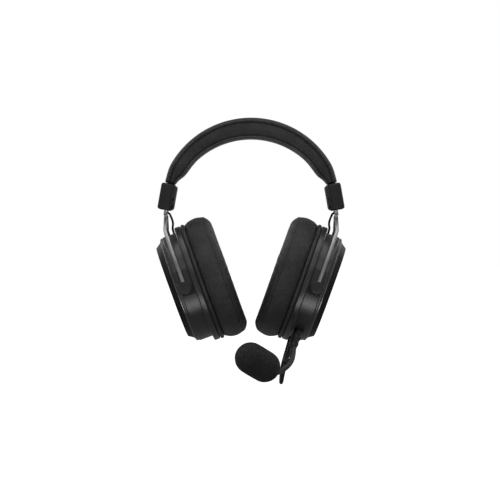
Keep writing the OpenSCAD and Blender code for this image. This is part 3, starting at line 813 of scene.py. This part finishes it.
barrelOutline = ([(35, -7.6), (39.2, -7.6)] + arc(39.2, -6.4, 1.2, -90, 0, 4)[1:]
                 + [(40.42, -5.2), (40.6, -4.9), (41, -4.6), (41, -2), (41, 2), (41, 7.3), (38.6, 7.3), (38.6, -5.4),
                    (35, -5.4)])
barrel = cupLoft("barrel", barrelOutline, "barrel_plastic")
recesses = []
for front in (1, -1):
    low = (-30, min(front * 40.1, front * 43), -4.1)
    high = (7.2, max(front * 40.1, front * 43), 6.7)
    recesses.append(slab("recess", low, high, "barrel_plastic", cupPlace, 0.5, 2))
plainBarrel = mirrored(cut(barrel, recesses), "rightCupHousing")
barrel.name = "leftCupHousing"
mic = {"angle": 35, "at": (6.5, 1.5), "length": 17}
micAngle = math.radians(mic["angle"])
micAim = downCup * math.cos(micAngle) + Vector((0, -1, 0)) * math.sin(micAngle)


def micPlace(distance):
    return cupPlace(mic["at"][0], 0, mic["at"][1]) + micAim * distance * mm


hole = lathe("hole", [(0, 0.030), (0.0043, 0.030), (0.0043, 0.050), (0, 0.050)], micPlace(0), micAim,
             "barrel_plastic")
reliefAt = cupPlace(46.7, -8, 2.1)
reliefHole = lathe("reliefHole", [(0, -0.008), (0.0031, -0.008), (0.0031, 0.006), (0, 0.006)], reliefAt, downCup,
                   "barrel_plastic")
cut(barrel, [hole, reliefHole])
for piece, side in ((barrel, "left"), (plainBarrel, "right")):
    sharpen(piece, 30)
    settle(piece, f"{side}_cup", "barrel_plastic", f"{side}_cup_housing")

capOutline = ([(0.01, -13.3), (20, -13.3), (33.2, -13.25)] + arc(33.4, -12.0, 1.25, -90, -20, 5)
              + [(36.2, -10.0), (37.0, -8.9), (37.3, -8.4), (34.8, -8.4), (33, -11.3), (0.01, -11.3)])
cap = sharpen(cupLoft("outerCap", capOutline, "cap_plastic", closed=False), 32)
bothSides(cap, "outerCap", "cup", "cap_plastic", "outer_cap")
trim = sharpen(cupLoft("trimRing", [(34, -8.4), (37.8, -8.4), (38.1, -8.3), (38.2, -8.0), (38.2, -7.6), (34, -7.6)],
                       "trim_metal"), 32)
bothSides(trim, "trimRing", "cup", "trim_metal", "trim_ring")
flangeOutline = ([(38.4, 7.3)] + arc(44.3, 8.4, 1.1, -90, 0, 5) + arc(44.3, 11.5, 1.1, 0, 90, 5)
                 + [(26, 12.6), (26, 9.8), (38.4, 9.8)])
flange = sharpen(cupLoft("baffle", flangeOutline, "barrel_plastic"), 32)
bothSides(flange, "baffle", "cup", "barrel_plastic", "baffle")


cushionSizes = {
    "voxel": 2.6, "pressure": 600.0, "mass": 0.005, "stretch": 0.2, "bend": 0.002, "cap": 1.6, "frames": 20,
    "seamAt": 33.9, "skirtAt": 16.4, "gluedBelow": 17.6, "seamHalf": 1.1, "earEdge": 26.5,
}


def cupCoordinates(point):
    # how far out from the cup's long middle, which way round it, and how far towards the ear
    away = (point - pivot) / mm
    v, f, a = away.dot(downCup), -away.y, away.dot(toEar)
    beyond = math.copysign(max(abs(v) - cup["straight"] / 2, 0), v)
    return math.hypot(beyond, f), math.atan2(f, beyond), a


def outward(turn):
    return downCup * math.cos(turn) + Vector((0, -1, 0)) * math.sin(turn)


def heldFirmly(point):
    # glued to its ring at the back, and sewn along the seams of its face
    r, turn, a = cupCoordinates(point)
    if a < cushionSizes["gluedBelow"] or (abs(a - cushionSizes["seamAt"]) < cushionSizes["seamHalf"] and r > 44):
        return 1.0
    return 0.7 if a > 33 and r < cushionSizes["earEdge"] else 0.0


def puffed(piece, held):
    change = piece.modifiers.new("remesh", "REMESH")
    change.mode, change.voxel_size = "VOXEL", cushionSizes["voxel"] * mm
    applied(piece)
    start = [v.co.copy() for v in piece.data.vertices]
    group = piece.vertex_groups.new(name="held")
    for i, place in enumerate(start):
        if held(place) > 0:
            group.add([i], held(place), "REPLACE")
    cloth = piece.modifiers.new("cloth", "CLOTH")
    cloth.settings.use_pressure = True
    # thin soft leather: at a small cushion's size the usual stiffness lets it swell by under 0.1 mm
    cloth.settings.tension_stiffness = cloth.settings.compression_stiffness = cushionSizes["stretch"]
    cloth.settings.shear_stiffness = cushionSizes["stretch"]
    cloth.settings.bending_stiffness = cushionSizes["bend"]
    cloth.settings.mass = cushionSizes["mass"]
    cloth.settings.uniform_pressure_force = cushionSizes["pressure"]
    cloth.settings.effector_weights.gravity = 0
    cloth.settings.vertex_group_mass = "held"
    cloth.collision_settings.use_collision = False
    scene = bpy.context.scene
    for frameNumber in range(1, cushionSizes["frames"] + 1):
        scene.frame_set(frameNumber)
    swollen = piece.evaluated_get(bpy.context.evaluated_depsgraph_get())
    ends = [v.co.copy() for v in swollen.to_mesh().vertices]
    swollen.to_mesh_clear()
    piece.modifiers.clear()
    scene.frame_set(1)
    most = cushionSizes["cap"] * mm
    for vertex, before, after in zip(piece.data.vertices, start, ends):
        move = after - before
        vertex.co = before + move * min(1.0, most / max(move.length, 1e-9))
    moved = sorted((after - before).length / mm for before, after in zip(start, ends))
    print("cushion moved", round(moved[-1], 2), "mm at most,", round(moved[len(moved) // 2], 2), "in the middle,",
          sum(m > cushionSizes["cap"] for m in moved), "of", len(moved), "points capped")
    piece.vertex_groups.clear()
    return smoothed(piece)


coreOutline = [(25.9, 15.6), (43.8, 15.6), (45.0, 17.2), (45.5, 19.5), (45.9, 22.5), (46.2, 26), (46.3, 30),
               (46.3, 33), (46.2, 34.4), (45.2, 35.9), (43.6, 37.0), (41.2, 37.6), (38, 37.8), (34, 37.7), (30.6, 37.2),
               (28, 35.9), (26.2, 34), (24.8, 31), (24.1, 27), (23.9, 22), (24.4, 18)]
cushion = puffed(cupLoft("earCushion", coreOutline, "cushion_leather"), heldFirmly)
for vertex in cushion.data.vertices:  # the puckers and slow waves of leather sewn over foam
    r, turn, a = cupCoordinates(vertex.co)
    near = max(0.0, 1 - abs(a - cushionSizes["seamAt"]) / 4)
    wave = (math.sin(turn * 34) + 0.6 * math.sin(turn * 53 + 1.3)) * 0.10 * near
    wave += (0.16 * math.sin(3 * turn + 0.6) + 0.10 * math.sin(7 * turn + 2.1)) * eased((a - 19) / 6)
    vertex.co += outward(turn) * wave * mm
skirt = cupLoft("skirt", [(43.6, 13.4), (44.3, 12.95), (45.2, 13.0), (45.85, 13.6), (46.0, 14.8), (45.7, 15.8),
                          (44.9, 16.35), (43.6, 16.3)], "cushion_leather")


def cupSeam(name, radius, a, thick):
    # a sewn line that lies on the cushion's own surface
    points = [Vector(p) for p in oblong(radius, a)]
    for i, point in enumerate(points):
        found, place, normal, face = cushion.closest_point_on_mesh(point)
        points[i] = place + normal * 0.02 * mm if found else point
    rings = []
    for i, p in enumerate(points):
        along = (points[(i + 1) % len(points)] - points[i - 1]).normalized()
        out = along.cross(toEar).normalized()
        rings.append([p + (out * math.cos(t) + toEar * math.sin(t)) * thick * mm
                      for t in (2 * math.pi * j / 6 for j in range(6))])
    return loft(name, rings, seamDark, closed=True)


seamRings = join("cushionSeams", [cupSeam("backSeam", 45.0, cushionSizes["skirtAt"] + 0.3, 0.36),
                                  cupSeam("faceSeam", 46.8, cushionSizes["seamAt"], 0.24)])
cushion = join("earCushion", [cushion, smoothed(skirt)])
bothSides(cushion, "earCushion", "cup", "cushion_leather", "ear_cushion")
bothSides(seamRings, "cushionSeams", "cup", "cushion_leather")
print("ear cups made")


# Yokes

fork = {"outer": 46.3, "crown": 66.3, "plate": 3.0, "width": 4.0, "bend": 51.8}


def forkPlace(y, h, thick):
    # follows the tilted cup below the bend and stands upright above it
    if h <= fork["bend"]:
        return cupPlace(-h, -y, -thick)
    foot = cupPlace(-fork["bend"], 0, 0)
    return foot + Vector((thick, y, h - fork["bend"])) * mm


def forkMiddle():
    centre = fork["crown"] - fork["outer"]
    radius = fork["outer"] - fork["width"] / 2
    line = [(-radius, h) for h in (0, 4, 8, 12, 16)]
    line += [(-radius * math.cos(math.radians(t)), centre + radius * math.sin(math.radians(t)))
             for t in range(0, 181, 5)]
    return line + [(radius, h) for h in (16, 12, 8, 4, 0)]


def forkSection(i, line):
    y, h = line[i]
    ahead, behind = line[min(i + 1, len(line) - 1)], line[max(i - 1, 0)]
    ty, th = ahead[0] - behind[0], ahead[1] - behind[1]
    size = math.hypot(ty, th)
    oy, oh = -th / size, ty / size
    w, t, r = fork["width"] / 2, fork["plate"] / 2, 0.7
    corners = []
    for cw, ct, start in ((w - r, t - r, 0), (-w + r, t - r, 90), (-w + r, -t + r, 180), (w - r, -t + r, 270)):
        corners += [(cw + r * math.cos(math.radians(start + s)), ct + r * math.sin(math.radians(start + s)))
                    for s in (0, 30, 60, 90)]
    return [forkPlace(y + oy * across, h + oh * across, deep) for across, deep in corners]


line = forkMiddle()
yokeParts = [loft("forkBow", [forkSection(i, line) for i in range(len(line))], "yoke_metal")]
strip = slab("strip", (-2.1, -7, -half[2] - 4.6), (0.9, 7, half[2] + 12), "yoke_metal", housingPlace, 0.5, 3)
crown = slab("crown", (-1.5, -14, fork["crown"] - 6 - fork["bend"]), (1.5, 14, fork["crown"] - 0.6 - fork["bend"]),
             "yoke_metal", lambda *p: cupPlace(-fork["bend"], 0, 0) + Vector(p) * mm, 0.6, 3)
yokeParts += [strip, crown]
for front in (1, -1):
    outline = [(0, 41.8), (4.9, 41.8), (5.2, 42.1), (5.2, 45.7), (4.6, 46.3), (0, 46.3)]
    yokeParts.append(lathe(f"eye{front}", [(r * mm, h * mm) for r, h in outline], cupPlace(0, 0, 0),
                           (0, -front, 0), "yoke_metal"))
yoke = join("yoke", yokeParts)
sharpen(yoke, 36)
bothSides(yoke, "yoke", "yoke", "yoke_metal", "yoke")

pins = []
for front in (1, -1):
    outline = ([(0, 34), (2, 34), (2, 46.2), (5.3, 46.2), (5.4, 46.4)] + arc(5.1, 46.95, 0.3, 0, 90, 4)
               + [(2.5, 47.28), (0, 47.28)])
    pins.append(lathe(f"pin{front}", [(r * mm, h * mm) for r, h in outline], cupPlace(0, 0, 0), (0, -front, 0),
                      "disc_metal"))
bothSides(sharpen(join("pivotPins", pins), 34), "pivotPins", "yoke", "disc_metal", "pivot_pins")
print("yokes made")


# Link wires

wire = {"diameter": 2.0, "u": -1.5, "y": 11.5}
wirePath = [housingPlace(wire["u"], wire["y"], h) for h in (12, 0, -12.4)]
wirePath += [Vector((x, wire["y"] - forward, z)) * mm for x, forward, z in (
    (71.3, 0, -64.8), (70.2, 0, -67), (68.7, 0, -70.8), (68.2, 0, -74.2), (68.5, 1, -77.6), (67.4, 2, -82),
    (66.3, 2.6, -86))]
leftWire = tube("leftLinkWire", spline(wirePath, 0.0012), wire["diameter"] / 2 * mm, "wire_black", 10, (0, 1, 0))
rightWire = mirrored(leftWire, "rightLinkWire")
for side, piece, sign in (("left", leftWire, 1), ("right", rightWire, -1)):
    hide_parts(side + "_link_wire")
    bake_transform(piece)


# Microphone

socketOutline = [(0, 24), (4.15, 24), (4.2, 41.2), (3.9, 41.7), (3.0, 41.75), (2.7, 41.3), (1.85, 41.2), (1.85, 30),
                 (0, 30)]
socket = sharpen(lathe("micSocket", [(r * mm, h * mm) for r, h in socketOutline], micPlace(0), micAim,
                       "cap_plastic"), 34)
settle(socket, "left_cup", "cap_plastic", "mic_socket")
bootOutline = [(0, 42), (3.7, 42), (4.1, 42.4), (4.1, 49.4), (3.9, 49.9), (3.4, 50.2), (3.4, 54.2), (3.7, 54.5),
               (3.8, 55.2), (3.7, 55.9), (3.4, 56.2), (3.3, 58.2), (3.0, 58.9), (2.4, 59), (0, 59)]
boot = sharpen(lathe("micBoot", [(r * mm, h * mm) for r, h in bootOutline], micPlace(0), micAim, "boot_rubber"), 40)
settle(boot, "mic_base", "boot_rubber", "mic_boot")

neckPoints = [(36.8, -32.2, -177.6), (35.9, -38.6, -185.2), (34.7, -43, -190.1), (32.3, -46.8, -193.9),
              (30.2, -49.2, -195.9), (26.9, -51.6, -198.3), (23.3, -54.4, -200), (20.6, -56.8, -200.4),
              (18.4, -58.9, -199.3)]
neck = tube("gooseneck", spline([Vector(p) * mm for p in neckPoints], 0.0012), 2.35 * mm, "gooseneck_black", 20)
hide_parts("gooseneck_lower", "gooseneck_upper")
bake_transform(neck)

foamAt, foamAim = Vector((11.3, -66, -194.75)) * mm, Vector((-0.65, -0.639, 0.414)).normalized()
foamSizes = {"radius": 13.4, "straight": 18, "hole": 6.2}
foamOutline = ([(0, 12), (foamSizes["hole"], 12), (foamSizes["hole"], -11.4)]
               + arc(0, 0, foamSizes["radius"], -62, 0, 14)
               + [(foamSizes["radius"] + 0.05, foamSizes["straight"] * i / 5) for i in range(1, 5)]
               + arc(0, foamSizes["straight"], foamSizes["radius"], 0, 89, 22))
screen = lathe("windscreen", [(r * mm, h * mm) for r, h in foamOutline], foamAt, foamAim, "foam_black", 96)
screen = smoothed(screen)
for vertex in screen.data.vertices:
    along = max(0, min(foamSizes["straight"] * mm, (vertex.co - foamAt).dot(foamAim)))
    out = (vertex.co - foamAt - foamAim * along).normalized()
    rough = noise.noise(vertex.co * 900) * 0.16 + noise.noise(vertex.co * 140) * 0.14
    vertex.co += out * rough * mm
settle(screen, "mic_head", "foam_black", "mic_windscreen")


# Strain relief, tie and plug

reliefOutline = [(0, -5), (3, -5), (3, 1), (3.9, 1.1), (4, 1.5), (4, 2.2), (3.6, 2.8), (2.95, 3.6)]
for i in range(7):
    top = 5.4 + i * 2.2
    wide = 2.9 - i * 0.05
    reliefOutline += [(wide, top), (wide - 0.75, top + 0.25), (wide - 0.75, top + 0.95), (wide - 0.05, top + 1.2)]
reliefOutline += [(2.5, 21.2), (2.2, 23.4), (1.9, 24), (0, 24)]
relief = sharpen(lathe("strainRelief", [(r * mm, h * mm) for r, h in reliefOutline], reliefAt, downCup,
                       "boot_rubber"), 34)
settle(relief, "left_cup", "boot_rubber", "strain_relief")

tieSizes = {"at": (-10.6, -54.35, -4.45), "inner": (14.9, 24.4), "round": 1.2}


def tieLoop(grow, across):
    w, d = tieSizes["inner"][0] / 2 + grow, tieSizes["inner"][1] / 2 + grow
    r = tieSizes["round"] + grow
    ring = []
    for cw, cd, start in ((w - r, d - r, 0), (-w + r, d - r, 90), (-w + r, -d + r, 180), (w - r, -d + r, 270)):
        ring += [(cw + r * math.cos(math.radians(start + s)), cd + r * math.sin(math.radians(start + s)))
                 for s in range(0, 91, 15)]
    v, f, a = tieSizes["at"]
    return [cupPlace(v + across, f + y, a - x) for x, y in ring]


tieRings = [(0, -4), (0, 4), (0.25, 4), (0.6, 3.9), (0.8, 3.6), (0.8, 0), (0.8, -3.6), (0.6, -3.9), (0.25, -4)]
tie = loft("cordTie", [tieLoop(grow, across) for grow, across in tieRings], "tie_fabric", closed=True)
settle(sharpen(tie, 50), "left_yoke", "tie_fabric", "cord_tie")

plugTop = Vector((61.7, 71.1, -107)) * mm
gripOutline = [(0, -1), (1.9, -1), (2.25, 0.2), (2.5, 2.5), (3.3, 4.2), (3.4, 5), (3.4, 12.6), (3.1, 13), (0, 13)]
grip = sharpen(lathe("plugGrip", [(r * mm, h * mm) for r, h in gripOutline], plugTop, (0, 0, -1), "boot_rubber"), 40)
settle(grip, "left_yoke", "boot_rubber", "headset_plug_grip")


def jackPin(name, at, aim, cadNode, body):
    outline = [(0, 0), (1.75, 0), (1.75, 3.1), (1.6, 3.15), (1.6, 3.55), (1.75, 3.6), (1.75, 6.6), (1.6, 6.65),
               (1.6, 7.05), (1.75, 7.1), (1.75, 10.4), (1.6, 10.45), (1.6, 10.85), (1.75, 10.9), (1.75, 12),
               (1.45, 12.6), (0.9, 13.7), (0.4, 14), (0, 14)]
    pin = sharpen(lathe(name, [(r * mm, h * mm) for r, h in outline], at, aim, "plug_gold", 32), 30)
    return settle(pin, body, "plug_gold", cadNode)


headsetPlug = jackPin("headsetPlug", plugTop + Vector((0, 0, -0.013)), (0, 0, -1), "headset_plug", "left_yoke")
jackPin("micPlug", micPlace(42), -micAim, "mic_plug", "mic_base")
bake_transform(cord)
print("microphone, tie and plugs made")


# Floor, sizes and finish

floorHeight = -0.33
floorMesh = bpy.data.meshes.new("floor")
floorMesh.from_pydata([(x, y, floorHeight) for x, y in ((-30, -30), (30, -30), (30, 30), (-30, 30))], [], [(0, 1, 2, 3)])
floor = bpy.data.objects.new("floor", floorMesh)
bpy.context.scene.collection.objects.link(floor)
paleFloor = Finish("paleFloor")
paleFloor.colour(paleFloor.noise(3), (0.86, 0.86, 0.86), (0.9, 0.9, 0.9))
paleFloor.set(Roughness=0.9, Emission_Color=(1, 1, 1, 1), Emission_Strength=0.9)
floorMesh.materials.append(paleFloor.material)
floor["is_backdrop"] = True
floor.visible_diffuse = floor.visible_glossy = False  # so that it does not light the headset from below

low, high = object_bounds()
